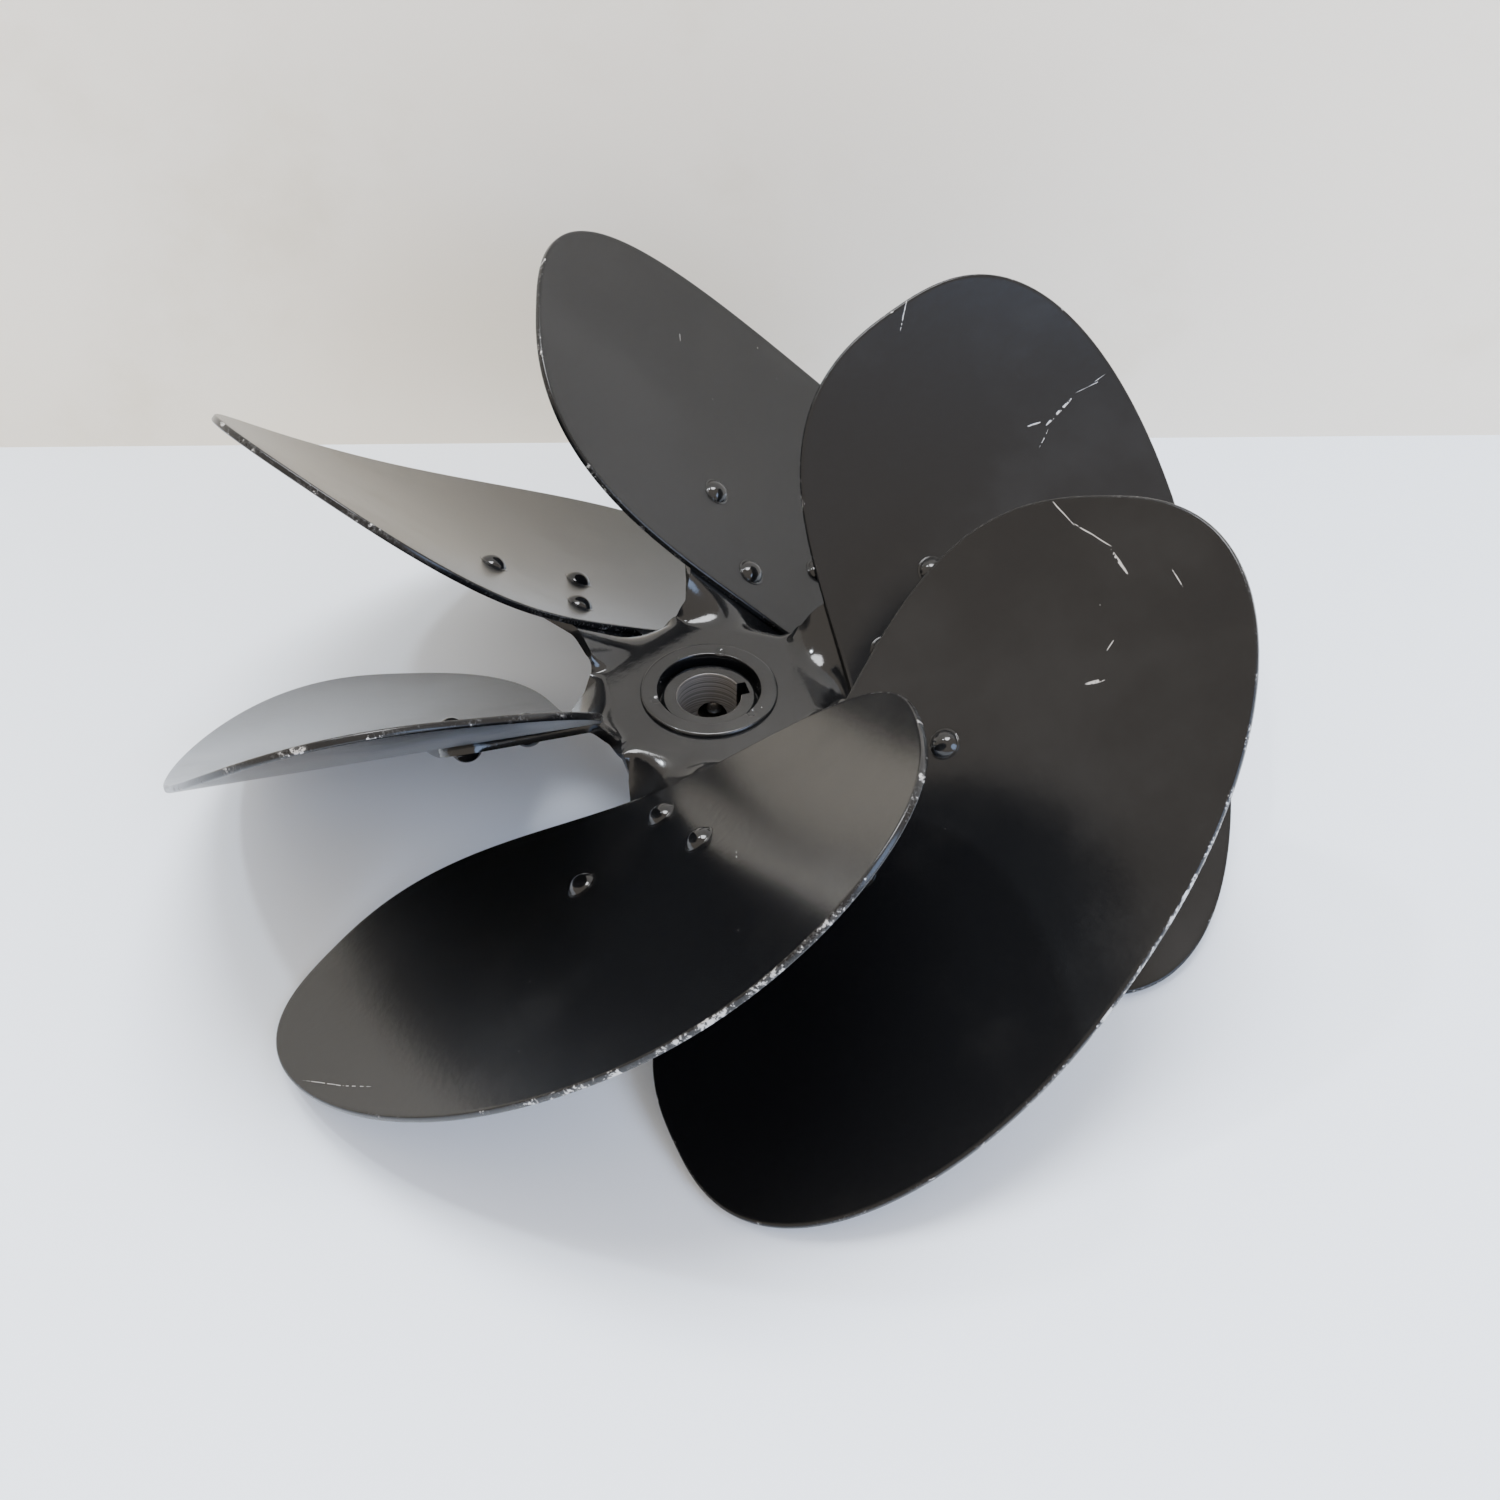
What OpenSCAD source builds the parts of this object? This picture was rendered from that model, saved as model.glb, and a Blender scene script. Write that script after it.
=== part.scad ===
// Six-blade sheet-metal axial fan rotor: oval blades riveted on a stamped spider,
// with a keyed steel hub whose lip is rolled over the spider plate.
// The origin is the centre of the hub's boss face, and +Z is the shaft axis, up.

/* [Blades] */
// Number of blades, equally spaced
blade_count = 6; // [3:1:8]
// Thickness of the blade sheet
blade_t = 2.5; // [1.5:0.1:3.5]
// Half length of the oval blade, across the fan
blade_half_l = 123.5; // [100:0.1:140]
// Half width of the oval blade, from the hub to the tips
blade_half_w = 67.2; // [50:0.1:80]
// Squareness of the oval, where 2 is an ellipse
blade_square = 2.6; // [2:0.05:4]
// Bow of the oval: how far both ends bend towards the hub, as a part of its half width
blade_bow = 0.349; // [0:0.005:0.5]
// Egg shape of the oval: how much longer its outer side is than its middle
blade_egg = 0.236; // [0:0.005:0.4]
// Lean of the oval: how far the high end moves outwards, as a part of its half width
blade_lean = 0.06; // [0:0.005:0.2]
// Taper of the oval: how much wider the high end is
blade_taper = 0.053; // [0:0.005:0.2]
// Distance from the shaft axis to the oval's middle
blade_centre_u = 115.5; // [100:0.1:130]
// Shift of the oval's middle towards its low end
blade_shift = 6.6; // [0:0.1:12]
// Pitch of the blade at its middle, in degrees
pitch = 37.8; // [20:0.1:45]
// Slope of the blade outwards, in degrees
cone = 2.75; // [0:0.05:6]
// Radius that the blade sheet is rolled to
camber_r = 525; // [400:1:900]
// Height of the blade sheet's top face where it would meet the shaft axis
blade_z = 1.25; // [-2:0.05:4]

/* [Spider] */
// Thickness of the spider plate
plate_t = 3; // [2:0.1:4]
// Height of the spider plate's top face
plate_top = 1.9; // [1:0.1:3]
// Distance from the shaft axis to the bottom of a notch between two arms
notch_bottom = 42; // [38:0.5:46]
// Radius of the round notch between two arms
notch_r = 4; // [3:0.1:8]
// Where the twist of an arm starts
twist_start = 32; // [28:0.5:36]
// Where the arm has reached the blade's pitch, just inside the blade's edge
twist_end = 47.5; // [44:0.1:48]
// Width of the strip that eases from one arm's twist to the next at a notch
web_w = 3.5; // [2:0.1:6]
// Radius of the rounded corners of an arm's tongue
tongue_r = 10; // [8:0.5:12]

/* [Rivets] */
// Diameter of a rivet's shank
rivet_d = 6; // [4:0.5:7]
// Radius of a rivet's round head
head_r = 4.9; // [4:0.1:6]
// Height of a rivet's round head
head_h = 3.2; // [2:0.1:4]
// Distance from the shaft axis to the inner rivet
rivet_in_u = 64; // [60:0.5:70]
// Distance from the shaft axis to the two outer rivets
rivet_out_u = 87.3; // [80:0.1:95]
// Distance of each outer rivet from the arm's centre line
rivet_out_v = 24.6; // [20:0.1:28]
// Turn of the three rivets on the arm, in degrees
rivet_turn = 1.7; // [0:0.1:4]

/* [Hub] */
// Diameter of the shaft bore
bore_d = 22; // [19:1:24]
// Width of the keyway
key_w = 6; // [5:1:8]
// Depth of the keyway beyond the bore's wall
key_depth = 2.8; // [2:0.1:3.3]
// Length of the hub, from its boss face to its lower end
hub_len = 38; // [30:1:50]
// Radius of the boss that stands inside the lip
boss_r = 16.1; // [15.5:0.1:16.5]
// Inner radius of the rolled lip
lip_in_r = 17.8; // [17.4:0.1:18.2]
// Outer radius of the rolled lip
lip_out_r = 23.6; // [22:0.1:25]
// Height of the rolled lip's top above the boss face
lip_top = 3.4; // [3:0.1:4]
// Radius of the neck that holds the spider plate
neck_r = 20; // [19.5:0.1:20.5]
// Radius of the shoulder under the spider plate
shoulder_r = 25; // [24:0.5:28]
// Radius of the hub's barrel below the shoulder
barrel_r = 19.5; // [18:0.5:22]
// Direction of the first of three stake marks on the lip, in degrees
stake_turn = 62; // [0:1:119]

/* [Set screw] */
// Diameter of the set screw
screw_d = 8; // [6:1:8]
// Length of the set screw
screw_len = 8; // [6:0.5:10]
// Depth of the set screw below the boss face
screw_depth = 17.6; // [14:0.1:24]
// Direction of the set screw from the keyway, in degrees
screw_turn = 68; // [45:1:135]
// How far the set screw's point is backed out of the bore
screw_back = 0.6; // [0.2:0.1:1.5]

/* [Hidden] */
$fn = 96;
arm_step = 360 / blade_count;
oval_points = 120;
// Gap that keeps touching sheets and heads from sharing volume
seat_gap = 0.02;
fit_gap = 0.05;
tongue_top = -blade_t - seat_gap;
tongue_mid = tongue_top - plate_t / 2;
plate_mid = plate_top - plate_t / 2;
grip = blade_t + seat_gap + plate_t;
notch_centre = notch_bottom + notch_r;
notch_u = notch_centre * cos(arm_step / 2);
notch_v = notch_centre * sin(arm_step / 2);
// Slope of an arm's side, a line that touches the notch and the round corner of the tongue
side_reach = [rivet_out_u - notch_u, rivet_out_v - notch_v];
side_slope = atan2(side_reach.y, side_reach.x) + asin((notch_r + tongue_r) / norm(side_reach));
side_u = notch_u + notch_r * sin(side_slope);
side_v = notch_v - notch_r * cos(side_slope);
// Up to this line the arms are joined to each other, and beyond it the notches part them
web_end = notch_bottom * cos(arm_step / 2);
web_steps = 4;
side_steps = 10;
// The flat plate is a disk that ends just before the arms start to twist
plate_r = twist_start - 0.5;
// Lines across each arm, from well inside the flat plate to a little inside the tongue
web_lines = concat(
    [twist_start - 6],
    [for (s = [0 : web_steps]) twist_start + (web_end - twist_start) * s / web_steps],
    [for (s = [1 : side_steps]) web_end + (twist_end - web_end) * s / side_steps],
    [twist_end + 3]
);
last_line = len(web_lines) - 1;
last_joined = web_steps + 1;
web_across = 10;
// How far the web stays inside the sheets it joins, across the arm and through the thickness
tuck = 2;
skin = 0.05;
boss_chamfer = 1;
groove_depth = 5;
shoulder_h = 5;
end_chamfer = 1;
stake_r = 1.4;
black = [0.09, 0.09, 0.1];
gloss_black = [0.05, 0.05, 0.06];
steel = [0.45, 0.45, 0.46];

// u and v of the three rivets of one arm, before their turn
rivet_places = [
    [rivet_in_u, 0],
    [rivet_out_u, rivet_out_v],
    [rivet_out_u, -rivet_out_v]
];

// Cosine or sine of a superellipse: the value c raised to 2 over the squareness, with its sign
function squared(c) = sign(c) * pow(abs(c), 2 / blade_square);

// Point of the oval at the angle a, measured from its middle
function oval_point(a) =
    let (
        c = squared(cos(a)),
        s = squared(sin(a)),
        out = c + blade_lean * s - blade_bow * s * s + blade_taper * c * s
    )
    [blade_half_w * out, blade_half_l * s * (1 + blade_egg * c)];

// Rotation of the point p by a degrees about X
function turn_x(p, a) = [p.x, p.y * cos(a) - p.z * sin(a), p.y * sin(a) + p.z * cos(a)];

// Rotation of the point p by a degrees about -Y, which lifts +X
function lift_x(p, a) = [p.x * cos(a) - p.z * sin(a), p.y, p.x * sin(a) + p.z * cos(a)];

// Smooth step from 0 to 1
function ease(t) = t <= 0 ? 0 : t >= 1 ? 1 : t * t * (3 - 2 * t);

// Half width of an arm: joined to the next arm, then round the notch, then along the straight side
function arm_half(u) =
    u < web_end + skin ? u * tan(arm_step / 2)
    : u < side_u ? notch_v - sqrt(notch_r * notch_r - pow(u - notch_u, 2))
    : side_v + (u - side_u) * tan(side_slope);

// Point of the twisting neck: u along the arm, v across it, w up from its middle
function neck_point(u, v, w) =
    let (
        t = ease((u - twist_start) / (twist_end - twist_start)),
        from_web = u * sin(arm_step / 2) - abs(v) * cos(arm_step / 2),
        turn = pitch * t * ease(from_web / web_w),
        bend = t / camber_r,
        up = w + t * tongue_mid,
        flat = [u, v - bend * up * v, up + bend * v * v / 2],
        z = t * blade_z + (1 - t) * plate_mid
    )
    lift_x(turn_x(flat, turn), cone * t) + [0, 0, z];

// Places children in the frame of a blade sheet's top face
module sheet_frame() {
    translate([0, 0, blade_z]) rotate([0, -cone, 0]) rotate([pitch, 0, 0]) children();
}

// Places children on the rolled sheet, at u along the arm and v across it
module on_sheet(u, v) {
    translate([u, 0, camber_r])
    rotate([asin(v / camber_r), 0, 0])
    translate([0, 0, -camber_r])
    children();
}

// Places children at one of an arm's three rivets
module at_rivet(i) {
    place = rivet_places[i - 1];
    reach = place.x - rivet_in_u;
    u = rivet_in_u + reach * cos(rivet_turn) + place.y * sin(rivet_turn);
    v = place.y * cos(rivet_turn) - reach * sin(rivet_turn);
    on_sheet(u, v) children();
}

module rivet_holes() {
    for (i = [1 : 3]) {
        at_rivet(i) translate([0, 0, -3 * grip]) cylinder(d = rivet_d + 2 * fit_gap, h = 6 * grip);
    }
}

// Rolled sheet between two depths below the blade's top face, cut to a flat outline
module rolled(top, thickness) {
    intersection() {
        translate([0, 0, camber_r]) rotate([0, 90, 0]) difference() {
            cylinder(r = camber_r - top + thickness, h = 250, $fn = 720);
            translate([0, 0, -1]) cylinder(r = camber_r - top, h = 252, $fn = 720);
        }
        translate([0, 0, -30]) linear_extrude(80) children();
    }
}

module blade_outline() {
    translate([blade_centre_u, -blade_shift])
    polygon([for (i = [0 : oval_points - 1]) oval_point(360 * (i + 0.5) / oval_points)]);
}

// The straight edges stop just inside the round corners, so each one crosses its circle
module tongue_outline() {
    corner = [rivet_out_u, rivet_out_v];
    edge_r = tongue_r - fit_gap;
    root = [twist_end + 0.5, arm_half(twist_end + 0.5) - fit_gap];
    touch = corner + edge_r * [-sin(side_slope), cos(side_slope)];
    for (side = [-1, 1]) translate([corner.x, side * corner.y]) circle(r = tongue_r);
    polygon([
        [root.x, -root.y],
        [touch.x, -touch.y],
        [corner.x, -corner.y],
        [corner.x + edge_r, -corner.y],
        [corner.x + edge_r, corner.y],
        [corner.x, corner.y],
        [touch.x, touch.y],
        [root.x, root.y]
    ]);
}

// Number of a point of the web: joined arms share the points of their common border
function web_index(side, k, s, a) =
    a == web_across && s <= last_joined
    ? web_index(side, (k + 1) % blade_count, s, 0)
    : (((side * blade_count + k) * (last_line + 1)) + s) * (web_across + 1) + a;

// Turns the point p about Z to the arm k
function on_arm(p, k) =
    let (a = k * arm_step)
    [p.x * cos(a) - p.y * sin(a), p.x * sin(a) + p.y * cos(a), p.z];

// Ring of all six necks, twisting from the flat plate to the blades' pitch
module web() {
    arms = [0 : blade_count - 1];
    points = [
        for (side = [1, -1], k = arms, u = web_lines, a = [0 : web_across])
            let (half = arm_half(u) - (u > twist_end ? tuck : 0))
            on_arm(neck_point(u, half * sin(180 * a / web_across - 90), side * (plate_t / 2 - skin)), k)
    ];
    faces = concat(
        [for (k = arms, s = [0 : last_line - 1], a = [0 : web_across - 1])
            [for (c = [[s, a], [s, a + 1], [s + 1, a + 1], [s + 1, a]]) web_index(0, k, c[0], c[1])]],
        [for (k = arms, s = [0 : last_line - 1], a = [0 : web_across - 1])
            [for (c = [[s, a], [s + 1, a], [s + 1, a + 1], [s, a + 1]]) web_index(1, k, c[0], c[1])]],
        [for (k = arms, s = [last_joined : last_line - 1])
            [for (c = [[0, s], [0, s + 1], [1, s + 1], [1, s]]) web_index(c[0], k, c[1], 0)]],
        [for (k = arms, s = [last_joined : last_line - 1])
            [for (c = [[0, s], [1, s], [1, s + 1], [0, s + 1]]) web_index(c[0], k, c[1], web_across)]],
        [for (k = arms, a = [0 : web_across - 1])
            [for (c = [[0, a], [1, a], [1, a + 1], [0, a + 1]]) web_index(c[0], k, 0, c[1])]],
        [for (k = arms, a = [0 : web_across - 1])
            [for (c = [[0, a], [0, a + 1], [1, a + 1], [1, a]]) web_index(c[0], k, last_line, c[1])]]
    );
    polyhedron(points, [for (f = faces, half = [0, 1]) [f[0], f[half + 1], f[half + 2]]]);
}

module blade(k) {
    color(black) rotate([0, 0, (k - 1) * arm_step]) sheet_frame() difference() {
        rolled(0, blade_t) blade_outline();
        rivet_holes();
    }
}

module spider() {
    color(gloss_black) difference() {
        union() {
            translate([0, 0, plate_top - plate_t]) rotate(arm_step / 4) cylinder(r = plate_r, h = plate_t);
            web();
            for (k = [0 : blade_count - 1]) {
                rotate([0, 0, k * arm_step]) sheet_frame() rolled(tongue_top, plate_t) tongue_outline();
            }
        }
        translate([0, 0, -plate_t]) cylinder(r = neck_r + seat_gap, h = 3 * plate_t);
        for (k = [0 : blade_count - 1]) {
            rotate([0, 0, k * arm_step]) sheet_frame() rivet_holes();
        }
    }
}

// One domed head standing on z = 0
module rivet_head() {
    dome_r = (head_r * head_r + head_h * head_h) / (2 * head_h);
    intersection() {
        translate([0, 0, head_h - dome_r]) sphere(r = dome_r);
        cylinder(r = 2 * head_r, h = 2 * head_h);
    }
}

module rivet(k, i) {
    color(gloss_black) rotate([0, 0, (k - 1) * arm_step]) sheet_frame() at_rivet(i) {
        translate([0, 0, -grip - 0.5]) cylinder(d = rivet_d, h = grip + 1);
        translate([0, 0, 0.03]) rivet_head();
        translate([0, 0, -grip - 0.03]) mirror([0, 0, 1]) rivet_head();
    }
}

module screw_hole() {
    rotate([0, 0, screw_turn]) translate([0, 0, -screw_depth]) rotate([0, 90, 0]) {
        cylinder(d = screw_d, h = shoulder_r + 1);
        cylinder(r1 = screw_d / 2 + 2, r2 = screw_d / 2, h = bore_d / 2 + 0.7);
    }
}

// Half section of the turned hub, with its lip rolled over the plate
module hub_profile() {
    bore_r = bore_d / 2;
    plate_low = plate_top - plate_t;
    shoulder_low = plate_low - shoulder_h;
    lip_low = plate_top + seat_gap;
    lip_round = (lip_top - lip_low) / 2;
    polygon([
        [bore_r, -hub_len],
        [barrel_r - end_chamfer, -hub_len],
        [barrel_r, -hub_len + end_chamfer],
        [barrel_r, shoulder_low],
        [shoulder_r, shoulder_low],
        [shoulder_r, plate_low - seat_gap],
        [neck_r, plate_low - seat_gap],
        [neck_r, lip_low],
        [lip_out_r - lip_round, lip_low],
        [lip_out_r - lip_round, lip_top],
        [lip_in_r, lip_top],
        [lip_in_r, -groove_depth],
        [boss_r, -groove_depth],
        [boss_r, -boss_chamfer],
        [boss_r - boss_chamfer, 0],
        [bore_r, 0]
    ]);
    translate([lip_out_r - lip_round, lip_low + lip_round]) circle(r = lip_round);
}

module hub() {
    color(gloss_black) difference() {
        rotate_extrude() hub_profile();
        translate([0, -key_w / 2, -hub_len - 1]) cube([bore_d / 2 + key_depth, key_w, hub_len + 2]);
        screw_hole();
        for (k = [0 : 2]) {
            rotate([0, 0, stake_turn + 120 * k]) translate([lip_in_r + 0.4, 0, lip_top + 0.2]) {
                sphere(r = stake_r);
            }
        }
    }
}

// Set screw with a rounded point towards the shaft and a hexagon socket outside
module set_screw() {
    socket_af = screw_d / 2;
    tip_r = screw_d * 0.75;
    color(steel) rotate([0, 0, screw_turn]) translate([bore_d / 2 + screw_back, 0, -screw_depth])
    rotate([0, 90, 0]) difference() {
        intersection() {
            cylinder(r = screw_d / 2 - fit_gap, h = screw_len);
            union() {
                translate([0, 0, tip_r]) sphere(r = tip_r);
                translate([0, 0, tip_r]) cylinder(r = screw_d, h = screw_len);
            }
        }
        translate([0, 0, screw_len / 2]) cylinder(d = socket_af / cos(30), h = screw_len, $fn = 6);
    }
}

for (k = [1 : blade_count]) {
    blade(k);
    for (i = [1 : 3]) rivet(k, i);
}
spider();
hub();
set_screw();
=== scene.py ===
import bpy
import bmesh
import numpy as np
from mathutils import Matrix, Vector


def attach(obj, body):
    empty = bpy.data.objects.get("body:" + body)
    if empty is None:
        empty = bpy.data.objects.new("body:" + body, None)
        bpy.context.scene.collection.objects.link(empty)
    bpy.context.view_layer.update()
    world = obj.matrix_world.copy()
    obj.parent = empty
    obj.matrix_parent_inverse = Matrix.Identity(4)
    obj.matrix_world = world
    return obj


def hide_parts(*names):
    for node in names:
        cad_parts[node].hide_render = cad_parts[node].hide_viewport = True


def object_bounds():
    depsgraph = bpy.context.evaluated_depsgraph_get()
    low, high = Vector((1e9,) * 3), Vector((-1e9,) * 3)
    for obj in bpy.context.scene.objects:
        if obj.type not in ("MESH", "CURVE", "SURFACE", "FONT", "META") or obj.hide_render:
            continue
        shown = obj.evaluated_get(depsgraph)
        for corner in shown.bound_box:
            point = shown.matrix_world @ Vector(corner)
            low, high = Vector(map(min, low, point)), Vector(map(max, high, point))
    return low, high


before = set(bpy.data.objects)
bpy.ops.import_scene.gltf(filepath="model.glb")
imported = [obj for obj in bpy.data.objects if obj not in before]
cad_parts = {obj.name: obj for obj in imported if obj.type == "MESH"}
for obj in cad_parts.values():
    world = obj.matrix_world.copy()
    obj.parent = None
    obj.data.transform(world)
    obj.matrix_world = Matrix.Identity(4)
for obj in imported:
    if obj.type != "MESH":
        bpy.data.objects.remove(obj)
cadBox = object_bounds()
print("frame loaded")

# lengths are metres and angles are degrees; z is the shaft axis, x runs along the first arm
rotor = {
    "arms": 6,
    "ringTop": 0.0034,
    "plateThickness": 0.003,
    "seatGap": 0.00002,
    "floor": cadBox[0][2],
}
sheet = {
    "thickness": 0.0025,
    "camber": 0.525,
    "pitch": 37.8,
    "cone": 2.75,
    "height": 0.00125,
}


def smoothStep(t):
    t = np.clip(t, 0.0, 1.0)
    return t * t * (3.0 - 2.0 * t)


# rotation matrices as numpy arrays: about x, about -y (lifts +x) and about z
def aboutX(degrees):
    c, s = np.cos(np.radians(degrees)), np.sin(np.radians(degrees))
    return np.array([[1, 0, 0], [0, c, -s], [0, s, c]])


def liftX(degrees):
    c, s = np.cos(np.radians(degrees)), np.sin(np.radians(degrees))
    return np.array([[c, 0, -s], [0, 1, 0], [s, 0, c]])


def aboutZ(degrees):
    c, s = np.cos(np.radians(degrees)), np.sin(np.radians(degrees))
    return np.array([[c, -s, 0], [s, c, 0], [0, 0, 1]])


# quads of a grid of rows by columns; a closed grid joins its last column to its first
def gridQuads(rows, cols, closed):
    span = cols if closed else cols - 1
    r, c = np.meshgrid(np.arange(rows - 1), np.arange(span), indexing="ij")
    nextC = (c + 1) % cols
    low, high = r * cols, (r + 1) * cols
    return np.stack([low + c, low + nextC, high + nextC, high + c], -1).reshape(-1, 4)


# triangles that close a ring of points onto one pole
def poleFan(firstOfRing, cols, pole, flip):
    c = np.arange(cols)
    ends = [firstOfRing + c, firstOfRing + (c + 1) % cols]
    if flip:
        ends.reverse()
    return np.stack([ends[0], ends[1], np.full(cols, pole)], -1)


# a mesh object from arrays; uv and values are per vertex
def makePiece(name, points, quads, tris=None, uv=None, values=None):
    mesh = bpy.data.meshes.new(name)
    mesh.vertices.add(len(points))
    mesh.vertices.foreach_set("co", np.asarray(points, dtype=np.float32).ravel())
    corners = [quads.ravel()]
    sizes = [np.full(len(quads), 4)]
    if tris is not None and len(tris):
        corners.append(tris.ravel())
        sizes.append(np.full(len(tris), 3))
    corners = np.concatenate(corners).astype(np.int32)
    sizes = np.concatenate(sizes)
    starts = np.concatenate([[0], np.cumsum(sizes)[:-1]]).astype(np.int32)
    mesh.loops.add(len(corners))
    mesh.loops.foreach_set("vertex_index", corners)
    mesh.polygons.add(len(sizes))
    mesh.polygons.foreach_set("loop_start", starts)
    mesh.polygons.foreach_set("use_smooth", np.ones(len(sizes), dtype=bool))
    mesh.update(calc_edges=True)
    if uv is not None:
        layer = mesh.uv_layers.new(name="sheetMap")
        layer.uv.foreach_set("vector", np.asarray(uv, dtype=np.float32)[corners].ravel())
    for key, data in (values or {}).items():
        attribute = mesh.attributes.new(key, "FLOAT", "POINT")
        attribute.data.foreach_set("value", np.asarray(data, dtype=np.float32))
    mesh.validate()
    piece = bpy.data.objects.new(name, mesh)
    bpy.context.scene.collection.objects.link(piece)
    return piece


# drops loose points and turns every face outward
def faceOutward(piece):
    work = bmesh.new()
    work.from_mesh(piece.data)
    bmesh.ops.delete(work, geom=[point for point in work.verts if not point.link_faces], context="VERTS")
    bmesh.ops.recalc_face_normals(work, faces=work.faces)
    work.to_mesh(piece.data)
    work.free()


# smooth noise over the plane: a sum of sine waves in seeded directions, from -1 to 1
def softNoise(x, y, scale, seed, waves=7):
    rng = np.random.default_rng(seed)
    total = np.zeros_like(x)
    for _ in range(waves):
        angle, phase = rng.uniform(0, 2 * np.pi, 2)
        stretch = rng.uniform(0.6, 1.7) / scale
        total = total + np.sin((x * np.cos(angle) + y * np.sin(angle)) * stretch * 2 * np.pi + phase)
    return total / waves


# from the sheet's own frame (u out, v across, z up) to the rotor's frame, for arm k
def fromSheet(points, k):
    turned = points @ aboutX(sheet["pitch"]).T @ liftX(sheet["cone"]).T
    turned[:, 2] += sheet["height"]
    return turned @ aboutZ(k * 360 / rotor["arms"]).T


# point on the rolled sheet: an arc of the camber radius across v, and depth below its top face
def rolledPoint(u, v, depth):
    angle = v / sheet["camber"]
    r = sheet["camber"] + depth
    return np.stack([u, r * np.sin(angle), sheet["camber"] - r * np.cos(angle)], -1)


def newGroup(name, inputs, outputs):
    group = bpy.data.node_groups.new(name, "ShaderNodeTree")
    for label, kind, value in inputs:
        socket = group.interface.new_socket(name=label, in_out="INPUT", socket_type=kind)
        if value is not None:
            socket.default_value = value
    for label, kind in outputs:
        group.interface.new_socket(name=label, in_out="OUTPUT", socket_type=kind)
    return group, group.nodes.new("NodeGroupInput"), group.nodes.new("NodeGroupOutput")


# links a socket to another one, or sets its value
def feed(tree, socket, value):
    if isinstance(value, bpy.types.NodeSocket):
        tree.links.new(value, socket)
    else:
        socket.default_value = value


# a node with its settings and input values or links given by name
def addNode(tree, kind, settings=None, **inputs):
    node = tree.nodes.new(kind)
    for key, value in (settings or {}).items():
        setattr(node, key, value)
    for key, value in inputs.items():
        # in0 and in1 are sockets by number
        numbered = key.startswith("in") and key[2:].isdigit()
        socket = node.inputs[int(key[2:]) if numbered else key]
        feed(tree, socket, value)
    return node


def mathNode(tree, operation, a, b=0.0, clamp=False):
    settings = {"operation": operation, "use_clamp": clamp}
    return addNode(tree, "ShaderNodeMath", settings, in0=a, in1=b).outputs[0]


def vectorNode(tree, operation, a, b):
    return addNode(tree, "ShaderNodeVectorMath", {"operation": operation}, in0=a, in1=b)


def stepNode(tree, value, low, high, outLow=0.0, outHigh=1.0):
    node = addNode(tree, "ShaderNodeMapRange", {"interpolation_type": "SMOOTHSTEP"}, Value=value)
    for key, number in (("From Min", low), ("From Max", high), ("To Min", outLow), ("To Max", outHigh)):
        feed(tree, node.inputs[key], number)
    return node.outputs["Result"]


def noiseNode(tree, vector, scale, detail=4.0, rough=0.55):
    return addNode(
        tree, "ShaderNodeTexNoise", None, Vector=vector, Scale=scale, Detail=detail, Roughness=rough)


# chips along an edge: 1 where paint is gone. reach is how far in chips go, amount how many there are
def buildEdgeWear():
    group, inside, out = newGroup(
        "edgeWear",
        [("Vector", "NodeSocketVector", None), ("Rim", "NodeSocketFloat", 0.0),
         ("Amount", "NodeSocketFloat", 0.5), ("Reach", "NodeSocketFloat", 0.001),
         ("Grain", "NodeSocketFloat", 500.0)],
        [("Chips", "NodeSocketFloat"), ("Scuff", "NodeSocketFloat")])
    t = group
    fine = noiseNode(t, inside.outputs["Vector"], inside.outputs["Grain"], 6.0, 0.65).outputs["Fac"]
    broadScale = mathNode(t, "MULTIPLY", inside.outputs["Grain"], 0.11)
    broad = noiseNode(t, inside.outputs["Vector"], broadScale, 3.0, 0.6).outputs["Fac"]
    near = mathNode(t, "DIVIDE", inside.outputs["Rim"], inside.outputs["Reach"])
    closeness = mathNode(t, "SUBTRACT", 1.0, near, clamp=True)
    mixed = mathNode(t, "ADD", mathNode(t, "MULTIPLY", fine, 0.5), mathNode(t, "MULTIPLY", broad, 0.5))
    level = mathNode(t, "MULTIPLY", closeness, mathNode(t, "MULTIPLY", inside.outputs["Amount"], 0.20))
    push = mathNode(t, "ADD", mixed, level)
    gate = mathNode(t, "GREATER_THAN", closeness, 0.001)
    chips = mathNode(t, "MULTIPLY", stepNode(t, push, 0.655, 0.675), gate)
    scuff = mathNode(t, "MULTIPLY", stepNode(t, push, 0.56, 0.67), gate)
    group.links.new(chips, out.inputs["Chips"])
    group.links.new(scuff, out.inputs["Scuff"])
    return group


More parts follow.
